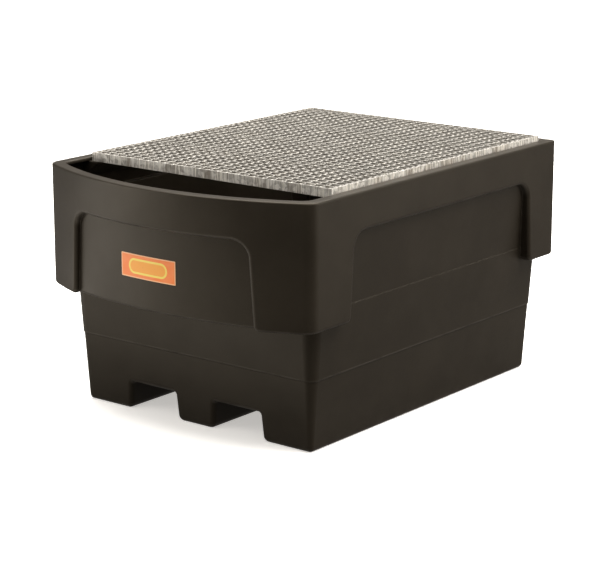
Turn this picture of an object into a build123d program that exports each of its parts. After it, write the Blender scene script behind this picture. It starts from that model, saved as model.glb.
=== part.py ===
from build123d import *
import os
from math import radians, sqrt, tan

os.makedirs("parts", exist_ok=True)

# ---------------------------------------------------------------------------
# Spill containment pallet for one intermediate bulk container: a moulded
# polyethylene sump on three feet, with a lift-off galvanised grating and an
# open dispensing bay behind its bulged front wall.
# Frame: origin on the floor under the middle of the object's box, +Z up.
# -Y is the front, where containers are filled.  Sizes are in millimetres.
# ---------------------------------------------------------------------------

# rim: the object's largest outline
rim_half_width = 557.0
rim_back = 774.5
rim_front = -774.5
rim_top = 832.0
front_radius = 1140.0
front_corner = 48.0
back_corner = 20.0
tight_corner = 2.0

# moulded skin and rim flange
wall = 8.0
flange_width = 42.0
flange_thickness = 12.0
flange_round = 6.0

# collar: the wide upper band that runs down into four corner pillars
collar_foot = 418.0
collar_round = 12.0

# tub box: the tapered lower body
base_half_width = 485.0
base_front = -546.5
base_back = 704.5
base_corner = 14.0
base_round = 16.0
draft_angle = 3.9
step_height = 240.0
step = 2.5
crease_height = 465.0
crease = 1.0
box_top = 720.0

# recesses between the pillars
recess_top = 704.0
recess_corner = 60.0
recess_foot_corner = 20.0
side_recess_center = 92.5
side_recess_half_top = 503.0
side_recess_half_foot = 522.0
back_recess_half_top = 390.0
back_recess_half_foot = 404.0
front_recess_half_top = 360.0
front_recess_half_foot = 378.0

# bulged panel between the two front pillars
panel_foot = 422.0
panel_radius = 1560.0
panel_front = -735.5
panel_half_width = 400.0
panel_back = -481.5
panel_foot_round = 10.0

# forklift pockets, open from front to back
pocket_center = 182.0
pocket_height = 97.0
pocket_half_top = 97.0
pocket_half_foot = 104.0
pocket_corner = 10.0
foot_round = 22.0

# small notch in the bottom edge of each side
notch_y = -453.5
notch_length = 14.0
notch_height = 9.0
notch_depth = 26.0

# grating: bearing bars across the width, rods along the length
grating_top = 848.0
grating_center = 125.5
grating_width = 1021.0
bar_height = 30.0
bar_thickness = 3.0
bar_pitch = 100 / 3
bar_spaces = 36
rod_pitch = 38.1
rod_count = 27
rod_size = 5.0

# ledge inside the collar that carries the grating on three sides
ledge_reach = 31.0
ledge_lip = 8.0
ledge_gap = 0.3
ledge_front = -485.5
bracket_foot = 755.0

# blank name plate on the front panel
plate_width = 234.0
plate_height = 78.0
plate_x = -28.0
plate_z = 564.0
plate_thickness = 1.2
plate_corner = 3.0

# places that follow from the sizes above
front_arc_center = rim_front + front_radius
flange_bottom = rim_top - flange_thickness
grating_bottom = grating_top - bar_height
ledge_top = grating_bottom - ledge_gap
bar_row = bar_spaces * bar_pitch
notch_places = [(side * base_half_width, notch_y, 0) for side in (-1, 1)]

# reach of the cutting shapes past what they cut, and what counts as touching
past_everything = 1200.0
cut_margin = 100.0
touching = 0.1


def bulged_outline(height, inset):
    """Plan outline parallel to the rim: straight sides and back, arched front."""
    x = rim_half_width - inset
    radius = front_radius - inset
    side_y = front_arc_center - sqrt(radius**2 - x**2)
    with BuildSketch(Plane.XY.offset(height)) as outline:
        with BuildLine():
            Polyline((x, side_y), (x, rim_back - inset), (-x, rim_back - inset), (-x, side_y))
            ThreePointArc((-x, side_y), (0, rim_front + inset), (x, side_y))
        make_face()
        fillet(outline.vertices().group_by(Axis.Y)[0], front_corner)
        fillet(outline.vertices().group_by(Axis.Y)[-1], max(back_corner - inset, tight_corner))
    return outline.sketch


def below_rim_on_skin(edge):
    """True for the collar's lower outer edges: its foot and the edges of its recesses."""
    middle = edge @ 0.5
    skin = bulged_outline(middle.Z, 0).wires()[0]
    return edge.bounding_box().max.Z < flange_bottom and skin.distance_to(middle) < touching


def box_outline(height, grow):
    """Plan outline of the tub box at a height, grown or shrunk on all sides."""
    grow += height * tan(radians(draft_angle))
    with BuildSketch(Plane.XY.offset(height)) as outline:
        with Locations((0, (base_back + base_front) / 2)):
            RectangleRounded(
                2 * (base_half_width + grow), base_back - base_front + 2 * grow, base_corner + grow
            )
    return outline.sketch


def panel_outline(height, inset):
    """Plan outline of the bulged front panel and the space behind it."""
    front = panel_front + inset
    x = panel_half_width - inset
    radius = panel_radius - inset
    side_y = front + radius - sqrt(radius**2 - x**2)
    with BuildSketch(Plane.XY.offset(height)) as outline:
        with BuildLine():
            Polyline((x, side_y), (x, panel_back), (-x, panel_back), (-x, side_y))
            ThreePointArc((-x, side_y), (0, front), (x, side_y))
        make_face()
    return outline.sketch


def recess_face(plane, center, half_top, half_foot, grow):
    """Upright profile of a recess: rounded top corners, sides that lean apart."""
    foot = collar_foot
    brim = foot - cut_margin
    reach = half_foot + cut_margin
    top = half_top + grow
    low = half_foot + grow
    with BuildSketch(plane) as profile:
        with Locations((center, 0)):
            Polygon(
                (-reach, brim), (reach, brim), (reach, foot), (low, foot),
                (top, recess_top + grow), (-top, recess_top + grow), (-low, foot), (-reach, foot),
                align=None,
            )
        fillet(profile.vertices().group_by(Axis.Y)[-1], recess_corner)
        at_foot = profile.vertices().group_by(Axis.Y)[1].sort_by(lambda v: abs(v.X - center))
        fillet(at_foot[:2], recess_foot_corner)
    return profile.sketch


def on_box_foot(edge):
    """True for the lower edges of the tub box: round its feet and round the pocket mouths."""
    middle = edge @ 0.5
    skin = box_outline(middle.Z, 0).wires()[0]
    return edge.bounding_box().max.Z < pocket_height + touching and skin.distance_to(middle) < touching


def pocket_face(grow):
    """Front profile of both forklift pockets, flared where the feet are rounded."""
    with BuildSketch(Plane.XZ) as profile:
        Rectangle(2 * past_everything, cut_margin, align=(Align.CENTER, Align.MAX))
        for center in (-pocket_center, pocket_center):
            with Locations((center, 0)):
                Polygon(
                    (-pocket_half_foot - grow, 0), (pocket_half_foot + grow, 0),
                    (pocket_half_top + grow, pocket_height + grow),
                    (-pocket_half_top - grow, pocket_height + grow),
                    align=None,
                )
        fillet(profile.vertices().group_by(Axis.Y)[-1], pocket_corner)
        fillet(
            profile.vertices().group_by(Axis.Y)[1].sort_by(lambda v: abs(v.X))[:4], foot_round
        )
    return profile.sketch


def cut_recesses(grow):
    """Cut the side, back and front recesses out of a collar."""
    sides = recess_face(
        Plane.YZ, side_recess_center, side_recess_half_top, side_recess_half_foot, grow
    )
    back = recess_face(Plane.XZ, 0, back_recess_half_top, back_recess_half_foot, grow)
    front = recess_face(Plane.XZ, 0, front_recess_half_top, front_recess_half_foot, grow)
    extrude(sides, past_everything, both=True, mode=Mode.SUBTRACT)
    extrude(back, -past_everything, mode=Mode.SUBTRACT)
    extrude(front, past_everything, mode=Mode.SUBTRACT)


def stack_box(grow):
    """Stack the tub box from three drafted stages, with a small step at each joint."""
    floor = -min(grow, 0)
    levels = (floor, step_height, crease_height, box_top)
    extras = (0, step, step - crease)
    for low, high, extra in zip(levels, levels[1:], extras):
        extrude(box_outline(low, grow + extra), high - low, taper=-draft_angle)


# ---------------------------------------------------------------------------
# tub: outer skin
# ---------------------------------------------------------------------------
with BuildPart() as collar:
    extrude(bulged_outline(collar_foot, 0), rim_top - collar_foot)
    cut_recesses(0)
    fillet(collar.edges().filter_by(below_rim_on_skin), collar_round)

with BuildPart() as panel:
    extrude(panel_outline(panel_foot, 0), box_top - panel_foot)
    front_foot = panel.edges().group_by(Axis.Z)[0].sort_by(Axis.Y)[0]
    fillet(front_foot, panel_foot_round)

with BuildPart() as outer:
    stack_box(0)
    extrude(pocket_face(0), past_everything, both=True, mode=Mode.SUBTRACT)
    fillet(outer.edges().filter_by(on_box_foot), base_round)
    add(collar.part)
    add(panel.part)

# ---------------------------------------------------------------------------
# tub: the space inside the skin
# ---------------------------------------------------------------------------
with BuildPart() as collar_space:
    extrude(bulged_outline(collar_foot + wall, wall), flange_bottom - collar_foot - wall)
    cut_recesses(wall)

with BuildPart() as space:
    stack_box(-wall)
    extrude(pocket_face(wall), past_everything, both=True, mode=Mode.SUBTRACT)
    add(collar_space.part)
    extrude(panel_outline(panel_foot + wall, wall), box_top - panel_foot - wall)

# ---------------------------------------------------------------------------
# tub: ledge under the grating, along both sides and the back
# ---------------------------------------------------------------------------
with BuildPart() as ledge:
    extrude(bulged_outline(bracket_foot, wall / 2), flange_bottom - bracket_foot)
    loft(
        [
            bulged_outline(bracket_foot, wall),
            bulged_outline(ledge_top - ledge_lip, flange_width + ledge_reach),
        ],
        ruled=True,
        mode=Mode.SUBTRACT,
    )
    extrude(
        bulged_outline(ledge_top - ledge_lip, flange_width + ledge_reach),
        ledge_lip,
        mode=Mode.SUBTRACT,
    )
    extrude(bulged_outline(ledge_top, flange_width), past_everything, mode=Mode.SUBTRACT)
    with Locations((0, ledge_front, bracket_foot)):
        Box(
            2 * past_everything, past_everything, past_everything,
            align=(Align.CENTER, Align.MAX, Align.CENTER), mode=Mode.SUBTRACT,
        )

# ---------------------------------------------------------------------------
# tub: skin over the notches
# ---------------------------------------------------------------------------
with BuildPart() as notch_skin:
    with Locations(*notch_places):
        Box(
            2 * (notch_depth + wall), notch_length + 2 * wall, notch_height + wall,
            align=(Align.CENTER, Align.CENTER, Align.MIN),
        )
    add(outer.part, mode=Mode.INTERSECT)

# ---------------------------------------------------------------------------
# tub: all together
# ---------------------------------------------------------------------------
with BuildPart() as tub:
    add(outer.part)
    add(space.part, mode=Mode.SUBTRACT)
    extrude(bulged_outline(flange_bottom, flange_width), past_everything, mode=Mode.SUBTRACT)
    fillet(tub.edges().group_by(Axis.Z)[-1], flange_round)
    add(ledge.part)
    add(notch_skin.part)
    with Locations(*notch_places):
        Box(2 * notch_depth, notch_length, 2 * notch_height, mode=Mode.SUBTRACT)
tub.part.label = "tub"
export_step(tub.part, "parts/tub.step")

# ---------------------------------------------------------------------------
# name plate: a thin blank plate bonded to the front panel
# ---------------------------------------------------------------------------
with BuildPart() as name_plate:
    extrude(panel_outline(panel_foot, -plate_thickness), box_top - panel_foot)
    extrude(panel_outline(panel_foot, 0), box_top - panel_foot, mode=Mode.SUBTRACT)
    with BuildSketch(Plane.XZ.offset(-panel_back)):
        with Locations((plate_x, plate_z)):
            RectangleRounded(plate_width, plate_height, plate_corner)
    extrude(amount=past_everything, mode=Mode.INTERSECT)
name_plate.part.label = "name_plate"
export_step(name_plate.part, "parts/name_plate.step")

# ---------------------------------------------------------------------------
# grating
# ---------------------------------------------------------------------------
bar_length = grating_width - 2 * bar_thickness
row_start = grating_center - bar_row / 2
row_end = grating_center + bar_row / 2

with BuildPart() as bearing_bar:
    with BuildSketch(Plane.XZ):
        with Locations((0, grating_bottom)):
            Rectangle(bar_length, bar_height, align=(Align.CENTER, Align.MIN))
        with Locations((0, grating_top)):
            with GridLocations(rod_pitch, 0, rod_count, 1):
                Rectangle(rod_size, 2 * rod_size, mode=Mode.SUBTRACT)
    extrude(amount=bar_thickness / 2, both=True)

for number in range(1, bar_spaces):
    bar = bearing_bar.part.moved(Location((0, row_start + number * bar_pitch, 0)))
    bar.label = f"bearing_bar_{number:02d}"
    export_step(bar, f"parts/{bar.label}.step")

with BuildPart() as cross_rods:
    with Locations((0, grating_center, grating_top)):
        with GridLocations(rod_pitch, 0, rod_count, 1):
            Box(
                rod_size, bar_row - bar_thickness, rod_size,
                align=(Align.CENTER, Align.CENTER, Align.MAX),
            )
cross_rods.part.label = "cross_rods"
export_step(cross_rods.part, "parts/cross_rods.step")

for name, y in (("banding_bar_front", row_start), ("banding_bar_rear", row_end)):
    with BuildPart() as banding_bar:
        with Locations((0, y, grating_bottom)):
            Box(
                grating_width, bar_thickness, bar_height,
                align=(Align.CENTER, Align.CENTER, Align.MIN),
            )
    banding_bar.part.label = name
    export_step(banding_bar.part, f"parts/{name}.step")

for name, side in (("banding_bar_left", -1), ("banding_bar_right", 1)):
    with BuildPart() as banding_bar:
        with Locations((side * (grating_width - bar_thickness) / 2, grating_center, grating_bottom)):
            Box(
                bar_thickness, bar_row - bar_thickness, bar_height,
                align=(Align.CENTER, Align.CENTER, Align.MIN),
            )
    banding_bar.part.label = name
    export_step(banding_bar.part, f"parts/{name}.step")
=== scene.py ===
from math import cos, radians, sin

import bmesh
import bpy
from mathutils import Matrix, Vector


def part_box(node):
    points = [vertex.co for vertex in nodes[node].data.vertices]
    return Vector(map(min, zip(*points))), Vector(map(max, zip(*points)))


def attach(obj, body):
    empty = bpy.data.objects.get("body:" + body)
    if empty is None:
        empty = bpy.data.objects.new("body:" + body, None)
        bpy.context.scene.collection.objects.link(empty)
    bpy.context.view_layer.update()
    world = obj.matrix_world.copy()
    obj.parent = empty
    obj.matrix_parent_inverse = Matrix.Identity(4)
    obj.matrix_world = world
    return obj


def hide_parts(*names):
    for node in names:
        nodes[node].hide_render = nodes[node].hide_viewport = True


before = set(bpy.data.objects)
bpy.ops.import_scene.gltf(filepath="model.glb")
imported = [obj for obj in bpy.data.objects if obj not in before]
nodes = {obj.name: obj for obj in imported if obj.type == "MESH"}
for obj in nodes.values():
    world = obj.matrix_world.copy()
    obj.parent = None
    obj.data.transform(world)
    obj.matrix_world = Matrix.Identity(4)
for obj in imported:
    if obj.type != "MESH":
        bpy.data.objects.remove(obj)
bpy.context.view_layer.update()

# ---------------------------------------------------------------------------
# Spill containment pallet: the looks.  Metres, +Z up, -Y is the front.
# The moulded tub, the bars and the plate keep their CAD shapes; the cross
# rods give way to twisted square rods.
# ---------------------------------------------------------------------------

# camera
CAMERA_PLACE = (4.295, -5.4365, 2.109)
CAMERA_TURN = 38.13      # degrees, round Z
CAMERA_DIP = 14.07       # degrees, below the horizon
CAMERA_LENS = 121.9      # mm
SENSOR_WIDTH = 36        # mm
CAMERA_REACH = 200       # metres, how far the camera sees

# colours of the surfaces, linear
PLASTIC_DARK = (0.0150, 0.0118, 0.0082)
PLASTIC_PALE = (0.0205, 0.0165, 0.0118)
# pale plastic: real pale specks, and also the colour of the painted highlights and painted floor
# reflection
PLASTIC_WORN_AND_HIGHLIGHT = (0.050, 0.044, 0.036)
DUST = (0.13, 0.115, 0.095)
ZINC_DARK = (0.31, 0.296, 0.272)
ZINC_PALE = (0.52, 0.50, 0.468)
ROD_DARK = (0.24, 0.229, 0.211)
ROD_PALE = (0.36, 0.345, 0.32)
BAND_DARK = (0.38, 0.363, 0.334)
BAND_PALE = (0.76, 0.735, 0.69)
ZINC_RUN = (0.25, 0.21, 0.165)
WHITE_RUST = (0.88, 0.84, 0.76)
PLATE_ORANGE = (0.96, 0.23, 0.035)
PLATE_AMBER = (0.96, 0.40, 0.045)
PLATE_YELLOW = (0.96, 0.74, 0.13)
PLATE_EDGE = (0.95, 0.52, 0.27)

# floor: one colour and glow for the camera, darker ones for the light it throws back
FLOOR_SIZE = 90
FLOOR_WHITE = (0.95, 0.95, 0.95)
FLOOR_BOUNCE = (0.09, 0.085, 0.08)
FLOOR_GLOW_SEEN = 0.48
FLOOR_GLOW = 0.13
GLOW_COLOR = (1.0, 0.97, 0.93)

# sky and lights
SKY_COLOR = (1, 0.96, 0.90, 1)
SKY_LOW = 0.12           # strength at the horizon
SKY_HIGH = 1.30          # and straight up
SKY_SEEN = 1.20          # what the camera sees behind the object
WARM_LIGHT = (1, 0.96, 0.9)
TOP_LIGHT = (1, 0.97, 0.93)

# plate print, as shares of the plate's height
PLATE_BORDER = 0.045
RING_HALF_WIDTH = 1.02
RING_HALF_HEIGHT = 0.28
RING_LINE = 0.09
RING_CORNER = 0.99       # as a share of the ring's half height

# plate print, in metres
PRINT_BLUR = 0.0006      # how soft the printed edges are
PLATE_CORNER = 0.003

# tub
WALL_STEP = 0.240        # height where the tapered wall steps out
STEP_LIP = 0.005         # height of the lip, where a pale band is painted as a highlight

# cross rods
ROD_RADIUS = 0.0030      # from the middle to a corner of the square section
ROD_TWIST = 0.030        # length of a quarter turn
ROD_STEPS = 4            # sections in a quarter turn


# sockets of a Mix node that hold colours
MIX_FIRST = 6
MIX_SECOND = 7
MIX_RESULT = 2


class Surface:
    """A material with a Principled shader, and short ways to add nodes to it."""

    def __init__(self, name):
        self.material = bpy.data.materials.new(name)
        self.material.use_nodes = True
        self.tree = self.material.node_tree
        self.shader = self.tree.nodes["Principled BSDF"]
        self.place = self.node("TexCoord").outputs["Object"]
        self.normal = self.node("NewGeometry").outputs["Normal"]

    def feed(self, socket, value):
        if isinstance(value, bpy.types.NodeSocket):
            self.tree.links.new(value, socket)
        elif hasattr(value, "__len__") and socket.type == "RGBA":
            socket.default_value = (*value, 1)
        else:
            socket.default_value = value

    def node(self, kind, inputs=None, **settings):
        made = self.tree.nodes.new("ShaderNode" + kind)
        for name, value in settings.items():
            setattr(made, name, value)
        for name, value in (inputs or {}).items():
            self.feed(made.inputs[name], value)
        return made

    def math(self, operation, *values):
        return self.node("Math", dict(enumerate(values)), operation=operation).outputs[0]

    def parts(self, vector):
        return self.node("SeparateXYZ", {0: vector}).outputs

    def stretched(self, scale):
        return self.node("Mapping", {"Vector": self.place, "Scale": scale}).outputs[0]

    def noise(self, scale, detail=2.0, roughness=0.5, stretch=(1, 1, 1), **more):
        place = self.stretched(stretch) if stretch != (1, 1, 1) else self.place
        inputs = {"Vector": place, "Scale": scale, "Detail": detail, "Roughness": roughness}
        return self.node("TexNoise", {**inputs, **more}).outputs["Fac"]

    def spread(self, value, low, high, to_low=0.0, to_high=1.0):
        inputs = {"Value": value, 1: low, 2: high, 3: to_low, 4: to_high}
        return self.node("MapRange", inputs, interpolation_type="SMOOTHSTEP").outputs[0]

    def mix(self, factor, first, second):
        made = self.node("Mix", data_type="RGBA")
        self.feed(made.inputs["Factor"], factor)
        self.feed(made.inputs[MIX_FIRST], first)
        self.feed(made.inputs[MIX_SECOND], second)
        return made.outputs[MIX_RESULT]

    def bump(self, height, distance, strength=1.0, normal=None):
        inputs = {"Height": height, "Distance": distance, "Strength": strength}
        if normal is not None:
            inputs["Normal"] = normal
        return self.node("Bump", inputs).outputs[0]

    def finish(self, **sockets):
        for name, value in sockets.items():
            self.feed(self.shader.inputs[name.replace("_", " ")], value)
        return self.material


def moulded_plastic():
    """Satin polyethylene: fine pimples, slight waves, softened edges, pale specks and dust, with
    painted highlights on edges and at the wall step and painted floor reflection on faces turned
    down.
    """
    s = Surface("moulded_plastic")
    soft = s.node("Bevel", {"Radius": 0.006}, samples=6).outputs[0]
    edge = s.node("VectorMath", {0: soft, 1: s.normal}, operation="DOT_PRODUCT").outputs["Value"]
    # painted highlight: edges, where the bevelled normal parts from the true one, are lightened
    # patchily as if they caught the light
    painted_edge_highlight = s.math("MULTIPLY", s.spread(edge, 0.995, 0.88), s.spread(s.noise(40, 4), 0.35, 0.65))
    height = s.parts(s.place)["Z"]
    upward = s.parts(s.normal)["Z"]

    clouds = s.noise(4.5, 4, 0.6)
    color = s.mix(s.spread(clouds, 0.3, 0.7), PLASTIC_DARK, PLASTIC_PALE)
    specks = s.spread(s.noise(420, 2), 0.66, 0.74, 0, 0.25)
    color = s.mix(specks, color, PLASTIC_WORN_AND_HIGHLIGHT)
    # painted highlight laid on the edges
    color = s.mix(s.math("MULTIPLY", painted_edge_highlight, 0.85), color, PLASTIC_WORN_AND_HIGHLIGHT)
    patchy = s.spread(s.noise(14, 4), 0.3, 0.6, 0.25, 0.9)
    # painted reflection: faces that turn downwards are lightened, patchily, as if they mirrored the
    # bright floor
    painted_floor_reflection = s.math("MULTIPLY", s.spread(upward, -0.12, -0.45), patchy)
    color = s.mix(painted_floor_reflection, color, PLASTIC_WORN_AND_HIGHLIGHT)
    # painted highlight: a thin, patchy pale band at the wall step stands in for light caught by the
    # step's edge
    from_lip = s.math("ABSOLUTE", s.math("SUBTRACT", height, WALL_STEP + STEP_LIP / 2))
    painted_lip_highlight = s.math("MULTIPLY", s.spread(from_lip, STEP_LIP * 0.8, STEP_LIP * 0.3), patchy)
    color = s.mix(painted_lip_highlight, color, PLASTIC_WORN_AND_HIGHLIGHT)

    low_down = s.spread(height, 0.05, 0.0, 0, 0.10)
    splashed = s.math("MULTIPLY", low_down, s.spread(s.noise(24, 5, 0.7), 0.40, 0.70))
    color = s.mix(splashed, color, DUST)
    thin_dust = s.spread(s.noise(9, 5), 0.3, 0.8, 0.0, 0.05)
    settled = s.math("MULTIPLY", s.spread(upward, 0.75, 1.0), thin_dust)
    color = s.mix(settled, color, DUST)

    scratches = s.spread(s.noise(55, 3, 0.6, stretch=(1.0, 1.0, 0.12)), 0.70, 0.76)
    rough = s.spread(s.noise(7, 3), 0.3, 0.7, 0.36, 0.44)
    rough = s.math("ADD", rough, s.math("MULTIPLY", scratches, 0.08))
    rough = s.math("ADD", rough, s.math("MULTIPLY", settled, 0.9))

    waves = s.bump(s.noise(5.5, 1), 0.0035, 0.6, soft)
    dimples = s.bump(s.noise(70, 2), 0.00035, 0.35, waves)
    pimples = s.bump(s.noise(900, 1), 0.00010, 0.6, dimples)
    return s.finish(
        Base_Color=color, Roughness=rough, Normal=pimples,
        Specular_IOR_Level=0.30, Specular_Tint=(1.0, 0.88, 0.70),
    )


def galvanised(name, spangle, run, shine, dark, pale):
    """Hot-dip zinc: spangle crystals, drain runs down the upright faces, white bloom."""
    s = Surface(name)
    cells = s.node("TexVoronoi", {"Vector": s.place, "Scale": spangle}, feature="F1")
    crystal = s.parts(cells.outputs["Color"])["X"]
    clouds = s.noise(11, 5, 0.65)
    tone = s.math("ADD", s.math("MULTIPLY", crystal, 0.55), s.math("MULTIPLY", clouds, 0.6))
    color = s.mix(s.spread(tone, 0.25, 0.85), dark, pale)

    runs = s.noise(170, 4, 0.65, stretch=(1.0, 1.0, 0.06))
    upright = s.math("SUBTRACT", 1.0, s.math("ABSOLUTE", s.parts(s.normal)["Z"]))
    dark_runs = s.math("MULTIPLY", upright, s.spread(runs, 0.52, 0.66, 0, run))
    pale_runs = s.math("MULTIPLY", upright, s.spread(runs, 0.49, 0.38, 0, run * 1.3))
    patches = s.noise(16, 3, 0.6, stretch=(1.0, 1.0, 0.25))
    dull = s.math("MULTIPLY", upright, s.spread(patches, 0.48, 0.66, 0, run))
    color = s.mix(dull, color, ZINC_RUN)
    color = s.mix(dark_runs, color, ZINC_RUN)
    color = s.mix(pale_runs, color, WHITE_RUST)
    bloom = s.spread(s.noise(26, 6, 0.7), 0.54, 0.72, 0, 0.6)
    color = s.mix(bloom, color, WHITE_RUST)

    rough = s.spread(tone, 0.2, 0.9, 0.66, 0.50)
    rough = s.math("ADD", rough, s.math("MULTIPLY", bloom, 0.25))
    metallic = s.spread(bloom, 0.0, 0.6, shine, shine * 0.5)
    grain = s.bump(s.noise(600, 3), 0.00012, 0.5)
    lumps = s.bump(runs, 0.0004, 0.4, grain)
    return s.finish(Base_Color=color, Roughness=rough, Metallic=metallic, Normal=lumps)


def rounded_box(s, x, z, half_x, half_z, corner):
    """Signed distance from a rounded rectangle, less than zero inside it."""
    over_x = s.math("SUBTRACT", s.math("ABSOLUTE", x), half_x - corner)
    over_z = s.math("SUBTRACT", s.math("ABSOLUTE", z), half_z - corner)
    out_x = s.math("MAXIMUM", over_x, 0.0)
    out_z = s.math("MAXIMUM", over_z, 0.0)
    squares = s.math("ADD", s.math("MULTIPLY", out_x, out_x), s.math("MULTIPLY", out_z, out_z))
    outside = s.math("SQRT", squares)
    inside = s.math("MINIMUM", s.math("MAXIMUM", over_x, over_z), 0.0)
    return s.math("SUBTRACT", s.math("ADD", outside, inside), corner)


def printed_plate():
    """A blank orange plate with a pale border and a plain yellow ring."""
    low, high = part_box("name_plate")
    middle, size = (low + high) / 2, high - low
    s = Surface("printed_plate")
    place = s.parts(s.place)
    x = s.math("SUBTRACT", place["X"], middle.x)
    z = s.math("SUBTRACT", place["Z"], middle.z)

    half_x, half_z = RING_HALF_WIDTH * size.z, RING_HALF_HEIGHT * size.z
    pill = rounded_box(s, x, z, half_x, half_z, half_z * RING_CORNER)
    off_line = s.math("SUBTRACT", s.math("ABSOLUTE", pill), RING_LINE * size.z / 2)
    ring = s.spread(off_line, PRINT_BLUR, -PRINT_BLUR)
    filled = s.spread(pill, PRINT_BLUR, -PRINT_BLUR)
    rim = rounded_box(s, x, z, size.x / 2, size.z / 2, PLATE_CORNER)
    inner = -PLATE_BORDER * size.z
    border = s.spread(rim, inner - PRINT_BLUR, inner + PRINT_BLUR)

    faded = s.spread(s.noise(30, 4), 0.3, 0.75, 0, 0.16)
    orange = s.mix(faded, PLATE_ORANGE, PLATE_EDGE)
    color = s.mix(filled, orange, PLATE_AMBER)
    color = s.mix(ring, color, PLATE_YELLOW)
    color = s.mix(border, color, PLATE_EDGE)
    grime = s.spread(s.noise(120, 5, 0.7), 0.62, 0.80, 0, 0.25)
    color = s.mix(grime, color, DUST)
    rough = s.spread(s.noise(60, 3), 0.3, 0.7, 0.28, 0.42)
    peel = s.bump(s.noise(350, 2), 0.00006, 0.5)
    printed = s.bump(ring, 0.00008, 0.5, peel)
    return s.finish(Base_Color=color, Roughness=rough, Normal=printed)


def pale_floor():
    """White with a glow to the camera, so that the shade between the feet stays pale.

    To everything else it is dim, so that it throws little light back.
    """
    s = Surface("pale_floor")
    seen = s.node("LightPath").outputs["Is Camera Ray"]
    color = s.mix(seen, FLOOR_BOUNCE, FLOOR_WHITE)
    glow = s.spread(seen, 0, 1, FLOOR_GLOW, FLOOR_GLOW_SEEN)
    rough = s.spread(s.noise(3, 3), 0.3, 0.7, 0.55, 0.65)
    return s.finish(
        Base_Color=color, Roughness=rough, Specular_IOR_Level=0.0,
        Emission_Color=GLOW_COLOR, Emission_Strength=glow,
    )


def twisted_rods():
    """All cross rods as one mesh: square bars, twisted along their length."""
    low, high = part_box("cross_rods")
    sides = sorted({round(vertex.co.x, 4) for vertex in nodes["cross_rods"].data.vertices})
    z = high.z - ROD_RADIUS
    sections = ROD_STEPS * round((high.y - low.y) / ROD_TWIST)
    mesh = bmesh.new()
    for left, right in zip(sides[::2], sides[1::2]):
        x = (left + right) / 2
        rings = []
        for i in range(sections + 1):
            y = low.y + (high.y - low.y) * i / sections
            turns = [radians(90) * (i / ROD_STEPS + k) for k in range(4)]
            places = [(x + ROD_RADIUS * cos(turn), y, z + ROD_RADIUS * sin(turn)) for turn in turns]
            rings.append([mesh.verts.new(place) for place in places])
        for near, far in zip(rings, rings[1:]):
            for k in range(4):
                mesh.faces.new((near[k - 1], near[k], far[k], far[k - 1]))
        mesh.faces.new(rings[0])
        mesh.faces.new(rings[-1][::-1])
    bmesh.ops.recalc_face_normals(mesh, faces=mesh.faces)
    data = bpy.data.meshes.new("twisted_rods")
    mesh.to_mesh(data)
    mesh.free()
    rods = bpy.data.objects.new("twisted_rods", data)
    bpy.context.scene.collection.objects.link(rods)
    return rods


def dress(node, material):
    node.data.materials.clear()
    node.data.materials.append(material)


def area_light(name, place, aim, size, power, color):
    data = bpy.data.lights.new(name, "AREA")
    data.shape = "RECTANGLE"
    data.size, data.size_y = size
    data.energy = power
    data.color = color
    light = bpy.data.objects.new(name, data)
    light.location = place
    light.visible_camera = False
    light.rotation_euler = (Vector(aim) - Vector(place)).to_track_quat("-Z", "Y").to_euler()
    bpy.context.scene.collection.objects.link(light)


def studio_sky():
    """A sky that is dim at the horizon and bright overhead, and white to the camera."""
    world = bpy.data.worlds.new("studio")
    world.use_nodes = True
    tree = world.node_tree
    sky = tree.nodes["Background"]
    sky.inputs["Color"].default_value = SKY_COLOR

    def node(kind, *values, **settings):
        """A world node whose inputs are fed in order with numbers or outputs."""
        made = tree.nodes.new("ShaderNode" + kind)
        for name, value in settings.items():
            setattr(made, name, value)
        for socket, value in zip(made.inputs, values):
            if isinstance(value, bpy.types.NodeSocket):
                tree.links.new(value, socket)
            else:
                socket.default_value = value
        return made.outputs

    climb = node("SeparateXYZ", node("TexCoord")["Generated"])["Z"]
    square = node("Math", climb, climb, operation="MULTIPLY")[0]
    dome = node("MapRange", square, 0.0, 1.0, SKY_LOW, SKY_HIGH)["Result"]
    seen = node("LightPath")["Is Camera Ray"]
    strength = node("MapRange", seen, 0.0, 1.0, dome, SKY_SEEN)["Result"]
    tree.links.new(strength, sky.inputs["Strength"])
    bpy.context.scene.world = world


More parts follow.
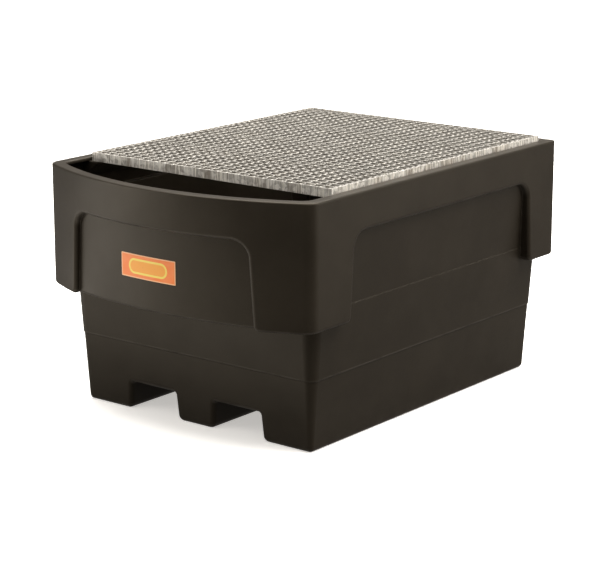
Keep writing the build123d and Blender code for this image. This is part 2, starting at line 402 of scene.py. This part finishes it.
# ---------------------------------------------------------------------------
# finishes
# ---------------------------------------------------------------------------
dress(nodes["tub"], moulded_plastic())
dress(nodes["name_plate"], printed_plate())
bar_zinc = galvanised("bar_zinc", 110, run=0.35, shine=0.45, dark=ZINC_DARK, pale=ZINC_PALE)
rod_zinc = galvanised("rod_zinc", 160, run=0.2, shine=0.30, dark=ROD_DARK, pale=ROD_PALE)
band_zinc = galvanised("band_zinc", 85, run=0.70, shine=0.40, dark=BAND_DARK, pale=BAND_PALE)
for name, node in nodes.items():
    if name.startswith("bearing_bar"):
        dress(node, bar_zinc)
    elif name.startswith("banding_bar"):
        dress(node, band_zinc)
    elif name == "cross_rods":
        dress(node, rod_zinc)
rods = twisted_rods()
dress(rods, rod_zinc)
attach(rods, "grating")
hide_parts("cross_rods")

# ---------------------------------------------------------------------------
# floor, light and camera
# ---------------------------------------------------------------------------
bpy.ops.mesh.primitive_plane_add(size=FLOOR_SIZE)
floor = bpy.context.object
floor.name = "floor"
dress(floor, pale_floor())

studio_sky()
area_light("key_left", (-4.2, -3.1, 0.8), (-0.3, -0.7, 0.5), (2.2, 1.5), 30, WARM_LIGHT)
area_light("low_front", (-3.6, -4.4, 0.9), (0, -0.6, 0.3), (2.6, 1.5), 54, WARM_LIGHT)
area_light("card_left", (-2.4, -1.7, 0.01), (-2.4, -1.7, 1.0), (2.2, 1.5), 13, WARM_LIGHT)
area_light("card_front", (-1.1, -2.0, 0.01), (-1.1, -2.0, 1.0), (2.8, 2.2), 15, WARM_LIGHT)
area_light("low_right", (5.0, 3.2, 1.2), (0.5, 0, 0.6), (3.0, 1.5), 78, WARM_LIGHT)
area_light("top", (0.0, 2.0, 9.0), (0, 0, 0), (12.0, 12.0), 2300, TOP_LIGHT)
area_light("high_right", (4.2, 1.0, 5.0), (0.5, 0, 0.5), (2.5, 2.5), 140, WARM_LIGHT)

camera_data = bpy.data.cameras.new("camera")
camera_data.lens = CAMERA_LENS
camera_data.sensor_width = SENSOR_WIDTH
camera_data.clip_end = CAMERA_REACH
camera = bpy.data.objects.new("camera", camera_data)
camera.location = CAMERA_PLACE
camera.rotation_euler = (radians(90 - CAMERA_DIP), 0, radians(CAMERA_TURN))
bpy.context.scene.collection.objects.link(camera)
bpy.context.scene.camera = camera
bpy.context.scene.view_settings.view_transform = "Standard"
